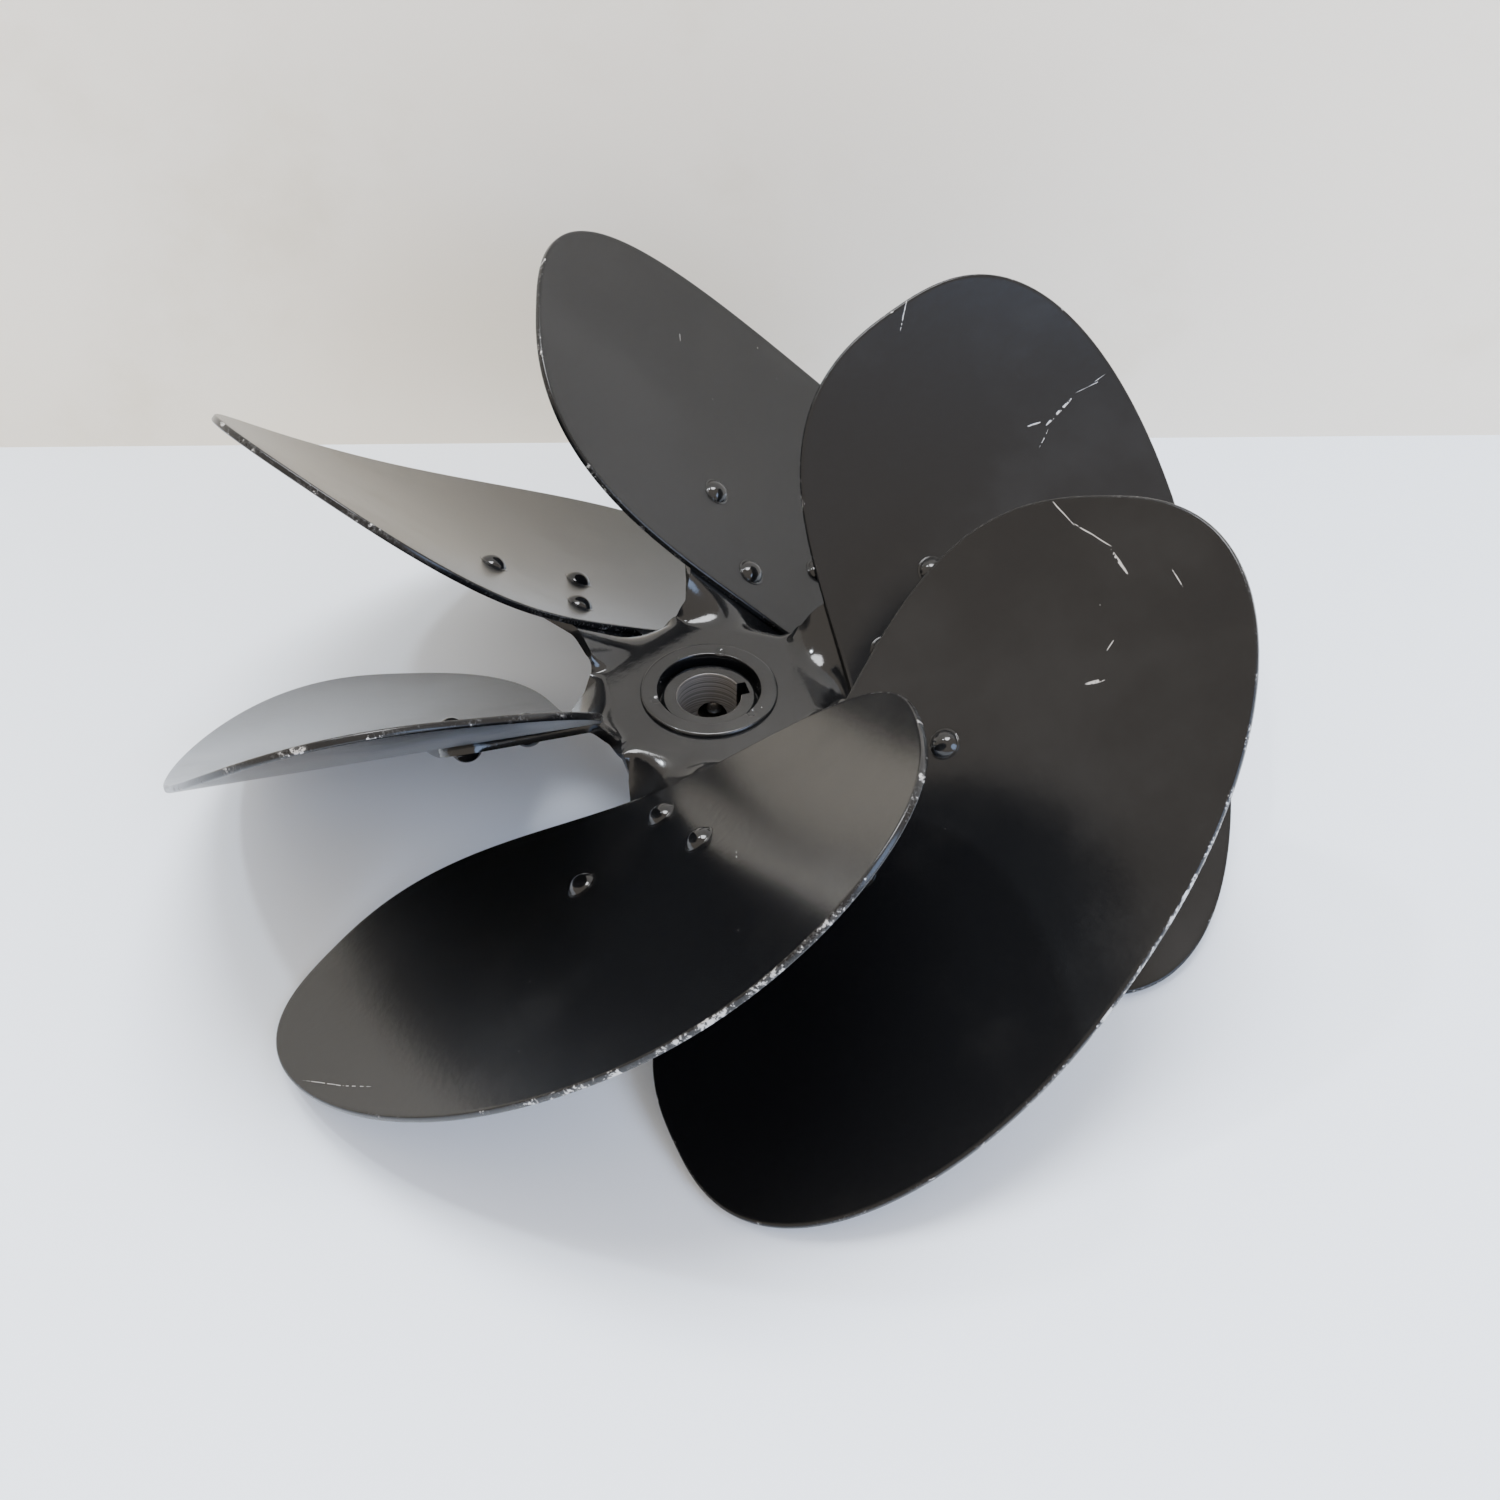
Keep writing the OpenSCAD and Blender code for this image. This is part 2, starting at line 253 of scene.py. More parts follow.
# a scratch: 1 on a thin wavering line between two given points of the uv map
def buildScratch():
    group, inside, out = newGroup(
        "scratchLine",
        [("Vector", "NodeSocketVector", None), ("Start", "NodeSocketVector", None),
         ("End", "NodeSocketVector", None), ("Width", "NodeSocketFloat", 0.0003),
         ("Waver", "NodeSocketFloat", 0.001), ("Broken", "NodeSocketFloat", 0.4)],
        [("Line", "NodeSocketFloat")])
    t = group
    wobble = noiseNode(t, inside.outputs["Vector"], 60.0, 2.0)
    start, end = inside.outputs["Start"], inside.outputs["End"]
    centred = vectorNode(t, "SUBTRACT", wobble.outputs["Color"], (0.5, 0.5, 0.5))
    offset = addNode(t, "ShaderNodeVectorMath", {"operation": "SCALE"}, in0=centred.outputs[0])
    group.links.new(inside.outputs["Waver"], offset.inputs["Scale"])
    place = vectorNode(t, "ADD", inside.outputs["Vector"], offset.outputs[0])
    along = vectorNode(t, "SUBTRACT", end, start)
    fromStart = vectorNode(t, "SUBTRACT", place.outputs[0], start)
    reach = vectorNode(t, "DOT_PRODUCT", fromStart.outputs[0], along.outputs[0])
    size = vectorNode(t, "DOT_PRODUCT", along.outputs[0], along.outputs[0])
    part = mathNode(t, "DIVIDE", reach.outputs["Value"], size.outputs["Value"], clamp=True)
    foot = addNode(t, "ShaderNodeVectorMath", {"operation": "SCALE"}, in0=along.outputs[0])
    group.links.new(part, foot.inputs["Scale"])
    gap = vectorNode(t, "DISTANCE", fromStart.outputs[0], foot.outputs[0])
    taper = mathNode(t, "MULTIPLY", mathNode(t, "MULTIPLY", part, mathNode(t, "SUBTRACT", 1.0, part)), 3.2)
    swell = mathNode(t, "ADD", mathNode(t, "POWER", taper, 0.5), 0.15)
    width = mathNode(t, "MULTIPLY", inside.outputs["Width"], swell)
    line = stepNode(t, gap.outputs["Value"], mathNode(t, "MULTIPLY", width, 0.5), width, 1.0, 0.0)
    breaks = noiseNode(t, inside.outputs["Vector"], 420.0, 3.0).outputs["Fac"]
    broken = inside.outputs["Broken"]
    whole = stepNode(t, breaks, mathNode(t, "SUBTRACT", broken, 0.04), broken)
    group.links.new(mathNode(t, "MULTIPLY", line, whole), out.inputs["Line"])
    return group


# thin smears and specks of dust
def buildDust():
    group, inside, out = newGroup(
        "dust",
        [("Vector", "NodeSocketVector", None), ("Specks", "NodeSocketFloat", 0.5),
         ("Haze", "NodeSocketFloat", 0.3)],
        [("Specks", "NodeSocketFloat"), ("Haze", "NodeSocketFloat")])
    t = group
    cells = addNode(
        t, "ShaderNodeTexVoronoi", {"feature": "F1"},
        Vector=inside.outputs["Vector"], Scale=210.0, Randomness=1.0)
    rare = addNode(t, "ShaderNodeSeparateColor", None, Color=cells.outputs["Color"])
    share = mathNode(t, "MULTIPLY", inside.outputs["Specks"], 0.1)
    keep = stepNode(t, rare.outputs["Red"], mathNode(t, "SUBTRACT", 1.0, share), 1.0)
    dot = stepNode(t, cells.outputs["Distance"], 0.03, 0.07, 1.0, 0.0)
    haze = noiseNode(t, inside.outputs["Vector"], 14.0, 5.0, 0.6).outputs["Fac"]
    group.links.new(mathNode(t, "MULTIPLY", dot, keep), out.inputs["Specks"])
    smears = mathNode(t, "MULTIPLY", stepNode(t, haze, 0.45, 0.75), inside.outputs["Haze"])
    group.links.new(smears, out.inputs["Haze"])
    return group


# the sprayed film's own height: orange peel over a finer grain
def buildOrangePeel():
    group, inside, out = newGroup(
        "orangePeel",
        [("Vector", "NodeSocketVector", None), ("Peel", "NodeSocketFloat", 450.0),
         ("Grain", "NodeSocketFloat", 2600.0)],
        [("Height", "NodeSocketFloat")])
    t = group
    peel = noiseNode(t, inside.outputs["Vector"], inside.outputs["Peel"], 2.0, 0.5).outputs["Fac"]
    grain = noiseNode(t, inside.outputs["Vector"], inside.outputs["Grain"], 2.0, 0.5).outputs["Fac"]
    height = mathNode(t, "ADD", mathNode(t, "MULTIPLY", peel, 0.75), mathNode(t, "MULTIPLY", grain, 0.25))
    group.links.new(height, out.inputs["Height"])
    return group


edgeWear = buildEdgeWear()
scratchLine = buildScratch()
dustGroup = buildDust()
orangePeel = buildOrangePeel()

paint = {
    "black": (0.0030, 0.0032, 0.0038, 1),
    "bare": (0.45, 0.445, 0.44, 1),
    "primer": (0.20, 0.195, 0.19, 1),
    "dust": (0.36, 0.35, 0.33, 1),
}


def newMaterial(name):
    material = bpy.data.materials.new(name)
    material.use_nodes = True
    tree = material.node_tree
    shader = tree.nodes["Principled BSDF"]
    return material, tree, shader


def mixColor(tree, factor, a, b):
    node = addNode(tree, "ShaderNodeMix", {"data_type": "RGBA"})
    for index, value in ((0, factor), (6, a), (7, b)):
        feed(tree, node.inputs[index], value)
    return node.outputs[2]


def mixValue(tree, factor, a, b):
    node = addNode(tree, "ShaderNodeMix", {"data_type": "FLOAT"})
    for index, value in ((0, factor), (2, a), (3, b)):
        feed(tree, node.inputs[index], value)
    return node.outputs[0]


def placeGroup(tree, group, **inputs):
    node = tree.nodes.new("ShaderNodeGroup")
    node.node_tree = group
    for key, value in inputs.items():
        feed(tree, node.inputs[key], value)
    return node


# satin black sheet with scratches: each runs from a place out and across the sheet, at a heading in
# degrees, for a length; width, waver and broken say how it is drawn
def bladePaint(name, scratches, look):
    material, tree, shader = newMaterial(name)
    objectSpace = addNode(tree, "ShaderNodeTexCoord").outputs["Object"]
    sheetSpace = addNode(tree, "ShaderNodeUVMap", {"uv_map": "sheetMap"}).outputs["UV"]
    rim = addNode(tree, "ShaderNodeAttribute", {"attribute_name": "rim"}).outputs["Fac"]
    scuffed = addNode(tree, "ShaderNodeAttribute", {"attribute_name": "scuffed"}).outputs["Fac"]
    shear = addNode(tree, "ShaderNodeAttribute", {"attribute_name": "shear"}).outputs["Fac"]
    wear = placeGroup(
        tree, edgeWear, Vector=objectSpace, Rim=rim, Amount=scuffed, Reach=look["wearReach"], Grain=900.0)
    lines = 0.0
    for out, across, heading, length, width, waver, broken in scratches:
        end = (out + length * np.cos(np.radians(heading)), across + length * np.sin(np.radians(heading)), 0)
        line = placeGroup(
            tree, scratchLine, Vector=sheetSpace, Start=(out, across, 0), End=end,
            Width=width, Waver=waver, Broken=broken)
        lines = mathNode(tree, "MAXIMUM", lines, line.outputs["Line"])
    dust = placeGroup(tree, dustGroup, Vector=objectSpace, Specks=look["specks"], Haze=look["haze"])
    peel = placeGroup(tree, orangePeel, Vector=objectSpace, Peel=430.0, Grain=2400.0)
    # the sheared rim: paint is thin there, so long patches of it are bare where the blade is scuffed
    patches = noiseNode(tree, objectSpace, 95.0, 6.0, 0.7).outputs["Fac"]
    thin = mathNode(tree, "ADD", patches, mathNode(tree, "MULTIPLY", scuffed, 0.17))
    rimBare = mathNode(tree, "MULTIPLY", stepNode(tree, thin, 0.665, 0.70), stepNode(tree, shear, 0.35, 0.75))
    bare = mathNode(tree, "MAXIMUM", mathNode(tree, "MAXIMUM", wear.outputs["Chips"], rimBare), lines)
    smears = mathNode(tree, "MULTIPLY", dust.outputs["Haze"], 0.02)
    tint = mixColor(tree, smears, paint["black"], paint["dust"])
    tint = mixColor(tree, mathNode(tree, "MULTIPLY", wear.outputs["Scuff"], 0.12), tint, paint["primer"])
    tint = mixColor(tree, mathNode(tree, "MULTIPLY", dust.outputs["Specks"], 0.55), tint, paint["dust"])
    tint = mixColor(tree, bare, tint, paint["bare"])
    tree.links.new(tint, shader.inputs["Base Color"])
    gloss = mixValue(tree, dust.outputs["Haze"], look["roughness"], look["roughness"] + 0.10)
    gloss = mixValue(tree, wear.outputs["Scuff"], gloss, 0.42)
    gloss = mixValue(tree, bare, gloss, 0.38)
    tree.links.new(gloss, shader.inputs["Roughness"])
    tree.links.new(mathNode(tree, "MULTIPLY", bare, 0.65), shader.inputs["Metallic"])
    shader.inputs["IOR"].default_value = 1.38
    sunk = mathNode(tree, "MULTIPLY", bare, -0.6)
    height = mathNode(tree, "ADD", mathNode(tree, "MULTIPLY", peel.outputs["Height"], look["peel"]), sunk)
    bump = addNode(tree, "ShaderNodeBump", None, Strength=0.5, Distance=0.00006, Height=height)
    tree.links.new(bump.outputs["Normal"], shader.inputs["Normal"])
    return material


# thick gloss paint for the spider, rivets and hub
def glossPaint(name, look):
    material, tree, shader = newMaterial(name)
    objectSpace = addNode(tree, "ShaderNodeTexCoord").outputs["Object"]
    pits = noiseNode(tree, objectSpace, look["chipScale"], 5.0, 0.62).outputs["Fac"]
    chips = stepNode(tree, pits, look["chipLevel"], look["chipLevel"] + 0.015)
    dust = placeGroup(tree, dustGroup, Vector=objectSpace, Specks=look["specks"], Haze=look["haze"])
    peel = placeGroup(tree, orangePeel, Vector=objectSpace, Peel=look["peelScale"], Grain=1900.0)
    smears = mathNode(tree, "MULTIPLY", dust.outputs["Haze"], 0.05)
    tint = mixColor(tree, smears, paint["black"], paint["dust"])
    tint = mixColor(tree, mathNode(tree, "MULTIPLY", dust.outputs["Specks"], 0.5), tint, paint["dust"])
    tint = mixColor(tree, chips, tint, paint["bare"])
    gloss = mixValue(tree, dust.outputs["Haze"], look["roughness"], look["roughness"] + 0.15)
    gloss = mixValue(tree, chips, gloss, 0.4)
    metal = mathNode(tree, "MULTIPLY", chips, 0.6)
    height = mathNode(tree, "ADD", peel.outputs["Height"], mathNode(tree, "MULTIPLY", chips, -0.5))
    if "boreRadius" in look:
        # inside the bore the steel is bare, with the rings that the boring tool left
        place = addNode(tree, "ShaderNodeSeparateXYZ", None, Vector=objectSpace)
        level = addNode(tree, "ShaderNodeCombineXYZ", None, Z=place.outputs["Z"])
        squares = [mathNode(tree, "MULTIPLY", place.outputs[key], place.outputs[key]) for key in ("X", "Y")]
        radius = mathNode(tree, "SQRT", mathNode(tree, "ADD", *squares))
        inside = stepNode(tree, radius, look["boreRadius"] + 0.0001, look["boreRadius"] + 0.0004, 1.0, 0.0)
        rings = noiseNode(tree, level.outputs[0], 1500.0, 3.0, 0.7).outputs["Fac"]
        steel = mixColor(tree, stepNode(tree, rings, 0.4, 0.6), (0.34, 0.32, 0.30, 1), (0.12, 0.11, 0.10, 1))
        tint = mixColor(tree, inside, tint, steel)
        gloss = mixValue(tree, inside, gloss, 0.38)
        metal = mathNode(tree, "MAXIMUM", metal, mathNode(tree, "MULTIPLY", inside, 0.6))
        height = mixValue(tree, inside, height, rings)
    tree.links.new(tint, shader.inputs["Base Color"])
    tree.links.new(gloss, shader.inputs["Roughness"])
    tree.links.new(metal, shader.inputs["Metallic"])
    shader.inputs["IOR"].default_value = 1.46
    bump = addNode(tree, "ShaderNodeBump", None, Strength=look["bump"], Distance=0.00012, Height=height)
    tree.links.new(bump.outputs["Normal"], shader.inputs["Normal"])
    return material


def oiledSteel(name):
    material, tree, shader = newMaterial(name)
    objectSpace = addNode(tree, "ShaderNodeTexCoord").outputs["Object"]
    rust = noiseNode(tree, objectSpace, 900.0, 4.0, 0.6).outputs["Fac"]
    tint = mixColor(tree, stepNode(tree, rust, 0.5, 0.7), (0.16, 0.155, 0.15, 1), (0.06, 0.045, 0.035, 1))
    tree.links.new(tint, shader.inputs["Base Color"])
    tree.links.new(mixValue(tree, rust, 0.22, 0.42), shader.inputs["Roughness"])
    shader.inputs["Metallic"].default_value = 0.9
    bump = addNode(tree, "ShaderNodeBump", None, Strength=0.3, Distance=0.00005, Height=rust)
    tree.links.new(bump.outputs["Normal"], shader.inputs["Normal"])
    return material


bladeLook = {"roughness": 0.21, "peel": 1.0, "specks": 0.35, "haze": 0.6, "wearReach": 0.0008}
spiderPaint = glossPaint("spiderPaint", {
    "roughness": 0.10, "specks": 0.5, "haze": 0.5, "peelScale": 260.0, "bump": 0.55,
    "chipScale": 130.0, "chipLevel": 0.74})
rivetPaint = glossPaint("rivetPaint", {
    "roughness": 0.07, "specks": 0.3, "haze": 0.3, "peelScale": 420.0, "bump": 0.35,
    "chipScale": 240.0, "chipLevel": 0.78})
hubPaint = glossPaint("hubPaint", {
    "roughness": 0.15, "specks": 0.6, "haze": 0.7, "peelScale": 520.0, "bump": 0.5,
    "chipScale": 300.0, "chipLevel": 0.70, "boreRadius": 0.011})
screwSteel = oiledSteel("screwSteel")
print("materials ready")


ovalShape = {
    "halfLength": 0.1235,
    "halfWidth": 0.0672,
    "square": 2.6,
    "bow": 0.349,
    "egg": 0.236,
    "lean": 0.06,
    "taper": 0.053,
    "centre": 0.1155,
    "shift": 0.0066,
    "trim": 0.0002,
    "steps": 440,
    "rimCorner": 0.00075,
    "waviness": 0.00008,
    "waveLength": 0.11,
    "leastScuffed": 0.25,
}


# the oval in its own frame: a superellipse with c and s for its squared cosine and sine;
# across = halfWidth (c + lean s - bow s^2 + taper c s), along = halfLength s (1 + egg c)
def ovalLine(a):
    power = 2 / ovalShape["square"]
    c = np.sign(np.cos(a)) * np.abs(np.cos(a)) ** power
    s = np.sign(np.sin(a)) * np.abs(np.sin(a)) ** power
    across = c + ovalShape["lean"] * s - ovalShape["bow"] * s * s + ovalShape["taper"] * c * s
    x = ovalShape["halfWidth"] * across
    y = ovalShape["halfLength"] * s * (1 + ovalShape["egg"] * c)
    return np.stack([x, y], -1)


# the oval with evenly spaced points, trimmed a little inside the drawn size, and its outward normals
def evenOval(cols):
    line = ovalLine(np.linspace(0, 2 * np.pi, 8000))
    walked = np.concatenate([[0], np.cumsum(np.hypot(*np.diff(line, axis=0).T))])
    at = np.linspace(0, walked[-1], cols, endpoint=False)
    line = np.stack([np.interp(at, walked, line[:, 0]), np.interp(at, walked, line[:, 1])], -1)
    tangent = np.roll(line, -2, 0) - np.roll(line, 2, 0)
    for _ in range(3):
        tangent = (np.roll(tangent, 1, 0) + 2 * tangent + np.roll(tangent, -1, 0)) / 4
    normal = np.stack([tangent[:, 1], -tangent[:, 0]], -1) / np.hypot(*tangent.T)[:, None]
    return line - ovalShape["trim"] * normal, normal


# one blade: rings step in from the edge along its normals, then shrink to a pole on each face
def makeBlade(k, scuffs):
    cols = ovalShape["steps"]
    t = sheet["thickness"]
    edge, normal = evenOval(cols)
    corner = ovalShape["rimCorner"]
    inward = np.concatenate([np.linspace(0, 0.006, 9)[1:], [0.010, 0.014]])
    turns = np.linspace(0, np.pi / 2, 5)
    # the rim: a rounded corner, the sheared flat and another rounded corner
    rimIn = np.concatenate([corner * (1 - np.sin(turns)), corner * (1 - np.cos(turns))])
    rimDepth = np.concatenate([corner * (1 - np.cos(turns)), t - corner * (1 - np.sin(turns))])
    inner = edge - inward[-1] * normal
    rings = [inner * share for share in np.linspace(0, 1, 16)[1:-1]]
    plain = len(rings)
    rings += [edge - (corner + d) * normal for d in inward[::-1]]
    depths = [0.0] * len(rings)
    face = list(rings)
    rings += [edge - d * normal for d in rimIn]
    depths += list(rimDepth)
    rings += face[::-1]
    depths += [t] * len(face)
    flat = np.array(rings)
    depth = np.repeat(np.array(depths)[:, None], cols, 1)
    rows = len(rings)
    u = flat[..., 0] + ovalShape["centre"]
    v = flat[..., 1] - ovalShape["shift"]
    # a pressed sheet is never quite true: a slow waviness of a tenth of a millimetre
    wave = ovalShape["waviness"] * softNoise(u, v, ovalShape["waveLength"], 40 + k)
    points = rolledPoint(u.ravel(), v.ravel(), (depth + wave).ravel())
    # distance to the rim, where anything past the wear's reach counts as far
    far = 0.03
    distances = [far] * plain + [corner + d for d in inward[::-1]]
    rim = distances + list(rimIn) + distances[::-1]
    rim = np.repeat(np.array(rim)[:, None], cols, 1)
    # how far down the sheared edge a point is: 0 at either face and 1 on the flat of the rim
    shear = np.clip(1 - rim / corner, 0, 1)
    bearing = np.degrees(np.arctan2(edge[:, 1], edge[:, 0]))
    scuffed = np.full(cols, ovalShape["leastScuffed"])
    for heading, spread, amount in scuffs:
        away = np.abs((bearing - heading + 180) % 360 - 180)
        scuffed = np.maximum(scuffed, amount * np.exp(-(away / spread) ** 2))
    scuffed = np.repeat(scuffed[None, :], rows, 0)
    count = rows * cols
    middle = [ovalShape["centre"], -ovalShape["shift"]]
    poles = rolledPoint(np.full(2, middle[0]), np.full(2, middle[1]), np.array([0, t]))
    poleMap = np.full((2, 2), middle)
    points = np.concatenate([points, poles])
    uv = np.concatenate([np.stack([u.ravel(), v.ravel()], -1), poleMap])
    values = {
        "rim": np.append(rim.ravel(), [far, far]),
        "shear": np.append(shear.ravel(), [0.0, 0.0]),
        "scuffed": np.append(scuffed.ravel(), [0.0, 0.0]),
    }
    quads = gridQuads(rows, cols, True)[:, ::-1]
    tris = np.concatenate([poleFan(0, cols, count, False), poleFan(count - cols, cols, count + 1, True)])
    return makePiece(f"bladeSheet{k + 1}", fromSheet(points, k), quads, tris, uv, values)


# edge scuffs of each blade are (direction on the oval, spread, amount), and scratches are
# (out, across, heading, length, width, waver, broken)
bladeMarks = [
    {"scuffs": [(20, 40, 0.6), (-40, 30, 0.4)], "scratches": [
        (0.174, 0.081, 200, 0.011, 0.00013, 0.0012, 0.42),
        (0.165, 0.077, 195, 0.011, 0.00020, 0.0015, 0.40),
        (0.154, 0.073, 215, 0.014, 0.00060, 0.0030, 0.46),
        (0.141, 0.067, 185, 0.006, 0.00033, 0.0015, 0.46),
        (0.143, 0.064, 230, 0.017, 0.00013, 0.0015, 0.48),
        (0.102, 0.119, 245, 0.011, 0.00020, 0.0006, 0.44)]},
    {"scuffs": [(120, 40, 0.35)], "scratches": [(0.142, 0.060, 25, 0.009, 0.00013, 0.0010, 0.52)]},
    {"scuffs": [(200, 50, 0.3)], "scratches": [(0.130, -0.030, 50, 0.013, 0.00013, 0.0010, 0.54)]},
    {"scuffs": [(250, 60, 0.6), (0, 40, 0.5)], "scratches": [
        (0.110, 0.050, 330, 0.009, 0.00013, 0.0010, 0.52)]},
    {"scuffs": [(30, 60, 0.65)], "scratches": [
        (0.150, -0.112, 75, 0.033, 0.00020, 0.0012, 0.47),
        (0.103, 0.044, 20, 0.007, 0.00013, 0.0008, 0.50)]},
    {"scuffs": [(10, 60, 0.7)], "scratches": [
        (0.080, 0.109, 340, 0.013, 0.00020, 0.0014, 0.43),
        (0.092, 0.105, 355, 0.016, 0.00026, 0.0014, 0.43),
        (0.107, 0.103, 330, 0.011, 0.00060, 0.0030, 0.47),
        (0.129, 0.105, 330, 0.007, 0.00020, 0.0012, 0.45),
        (0.122, 0.074, 85, 0.004, 0.00020, 0.0006, 0.45),
        (0.120, 0.061, 40, 0.008, 0.00065, 0.0030, 0.49)]},
]

for k in range(rotor["arms"]):
    marks = bladeMarks[k]
    blade = makeBlade(k, marks["scuffs"])
    blade.data.materials.append(bladePaint(f"bladePaint{k + 1}", marks["scratches"], bladeLook))
    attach(blade, "rotor")
    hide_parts(f"blade_{k + 1}")
print("blades made")


rivetPlan = {
    "inner": 0.064,
    "outer": 0.0873,
    "side": 0.0246,
    "turn": 1.7,
    "headRadius": 0.0049,
    "headHeight": 0.0032,
    "shank": 0.003,
    "steps": 40,
    "lopsided": 0.05,
}


# half profile of a rivet as (radius, height): a dome, a paint fillet at its foot, the shank,
# and the same below
def rivetProfile(grip):
    dome = (rivetPlan["headRadius"] ** 2 + rivetPlan["headHeight"] ** 2) / (2 * rivetPlan["headHeight"])
    half = np.arcsin(rivetPlan["headRadius"] / dome)
    a = np.linspace(0.06, half * 0.97, 14)
    r = dome * np.sin(a)
    z = rivetPlan["headHeight"] - dome + dome * np.cos(a)
    foot = np.array([[1.0, 0.00022], [1.05, 0.00010], [1.09, 0.00004]])
    top = np.concatenate([np.stack([r, z], -1), foot * [rivetPlan["headRadius"], 1]])
    mid = np.array([[rivetPlan["shank"], 0.00003], [rivetPlan["shank"], -grip / 2]])
    upper = np.concatenate([top, mid])
    lower = upper[::-1] * [1, -1] + [0, -grip]
    return np.concatenate([upper, lower[1:]])


def makeRivet(k, i):
    cols = rivetPlan["steps"]
    grip = sheet["thickness"] + rotor["plateThickness"] + rotor["seatGap"]
    reach = 0.0 if i == 0 else rivetPlan["outer"] - rivetPlan["inner"]
    side = [0.0, rivetPlan["side"], -rivetPlan["side"]][i]
    c, s = np.cos(np.radians(rivetPlan["turn"])), np.sin(np.radians(rivetPlan["turn"]))
    u = rivetPlan["inner"] + reach * c + side * s
    v = side * c - reach * s
    profile = rivetProfile(grip)
    a = np.linspace(0, 2 * np.pi, cols, endpoint=False)
    rng = np.random.default_rng(100 + 10 * k + i)
    # a hammered head is a little lopsided: each one leans and swells its own way
    lean = rng.uniform(-rivetPlan["lopsided"], rivetPlan["lopsided"], 2)
    swell = 1 + 0.012 * np.cos(a - rng.uniform(0, 6.28)) + 0.008 * np.cos(2 * a + rng.uniform(0, 6.28))
    r = profile[:, 0][:, None] * swell[None, :]
    z = np.repeat(profile[:, 1][:, None], cols, 1)
    above = np.maximum(z, 0)
    x = r * np.cos(a) + lean[0] * above
    y = r * np.sin(a) + lean[1] * above
    points = np.stack([x.ravel(), y.ravel(), z.ravel()], -1)
    count = len(points)
    peak = rivetPlan["headHeight"]
    poles = np.array([[lean[0] * peak, lean[1] * peak, peak], [0, 0, -grip - peak]])
    # a hair flatter than the drawn head, so that it stays inside it
    points = np.concatenate([points, poles]) * [1, 1, 0.99]
    tilt = aboutX(np.degrees(np.arcsin(v / sheet["camber"])))
    points = points @ tilt.T + rolledPoint(np.array([u]), np.array([v]), 0.0)
    quads = gridQuads(len(profile), cols, True)[:, ::-1]
    tris = np.concatenate([poleFan(0, cols, count, False), poleFan(count - cols, cols, count + 1, True)])
    return makePiece(f"roundRivet{k + 1}x{i + 1}", fromSheet(points, k), quads, tris)


for k in range(rotor["arms"]):
    for i in range(3):
        rivet = makeRivet(k, i)
        rivet.data.materials.append(rivetPaint)
        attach(rivet, "rotor")
        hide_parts(f"rivet_{k + 1}_{i + 1}")
print("rivets made")


plate = {
    "top": 0.0019,
    "hole": 0.0201,
    "notchBottom": 0.042,
    "notchRadius": 0.004,
    "twistStart": 0.032,
    "twistEnd": 0.0475,
    "webWidth": 0.0035,
    "cornerRadius": 0.010,
    "edgeRound": 0.0008,
}


# half width of an arm at u: joined to the next arm, round the notch, along the straight side, round the tip
def armPlan():
    half = np.radians(180 / rotor["arms"])
    far = plate["notchBottom"] + plate["notchRadius"]
    notch = far * np.array([np.cos(half), np.sin(half)])
    corner = np.array([rivetPlan["outer"], rivetPlan["side"]])
    reach = corner - notch
    slope = np.arctan2(reach[1], reach[0])
    slope += np.arcsin((plate["notchRadius"] + plate["cornerRadius"]) / np.hypot(*reach))
    leave = notch + plate["notchRadius"] * np.array([np.sin(slope), -np.cos(slope)])
    touch = corner + plate["cornerRadius"] * np.array([-np.sin(slope), np.cos(slope)])
    webEnd = plate["notchBottom"] * np.cos(half)
    joined = np.linspace(plate["twistStart"] - 0.002, webEnd, 12)
    around = np.arccos((webEnd - notch[0]) / plate["notchRadius"])
    a = np.linspace(2 * np.pi - around, 1.5 * np.pi + slope, 12)[1:]
    roundNotch = notch + plate["notchRadius"] * np.stack([np.cos(a), np.sin(a)], -1)
    middle = np.array([plate["twistEnd"], leave[1] + (plate["twistEnd"] - leave[0]) * np.tan(slope)])
    flank = [leave + (middle - leave) * share for share in np.linspace(0, 1, 8)[1:]]
    flank += [middle + (touch - middle) * share for share in np.linspace(0, 1, 14)[1:]]
    b = np.linspace(slope + np.pi / 2, 0, 14)[1:]
    tip = corner + plate["cornerRadius"] * np.stack([np.cos(b), np.sin(b)], -1)
    plan = np.concatenate([np.stack([joined, joined * np.tan(half)], -1), roundNotch, flank, tip])
    return plan, len(joined)


# twisting sheet: flat at the hub, turned to the blade's pitch and dropped under the blade at the end,
# with the twist eased away along the border that two arms share
def twistedPoint(u, v):
    half = np.radians(180 / rotor["arms"])
    t = smoothStep((u - plate["twistStart"]) / (plate["twistEnd"] - plate["twistStart"]))
    middle = -(sheet["thickness"] + rotor["plateThickness"] / 2 + rotor["seatGap"])
    bend = t / sheet["camber"]
    up = t * middle
    y = v - bend * up * v
    z = up + bend * v * v / 2
    fromWeb = u * np.sin(half) - np.abs(v) * np.cos(half)
    p = np.radians(sheet["pitch"] * t * smoothStep(fromWeb / plate["webWidth"]))
    y, z = y * np.cos(p) - z * np.sin(p), y * np.sin(p) + z * np.cos(p)
    c = np.radians(sheet["cone"] * t)
    x, z = u * np.cos(c) - z * np.sin(c), u * np.sin(c) + z * np.cos(c)
    lift = t * sheet["height"] + (1 - t) * (plate["top"] - rotor["plateThickness"] / 2)
    return np.stack([x, y, z + lift], -1)


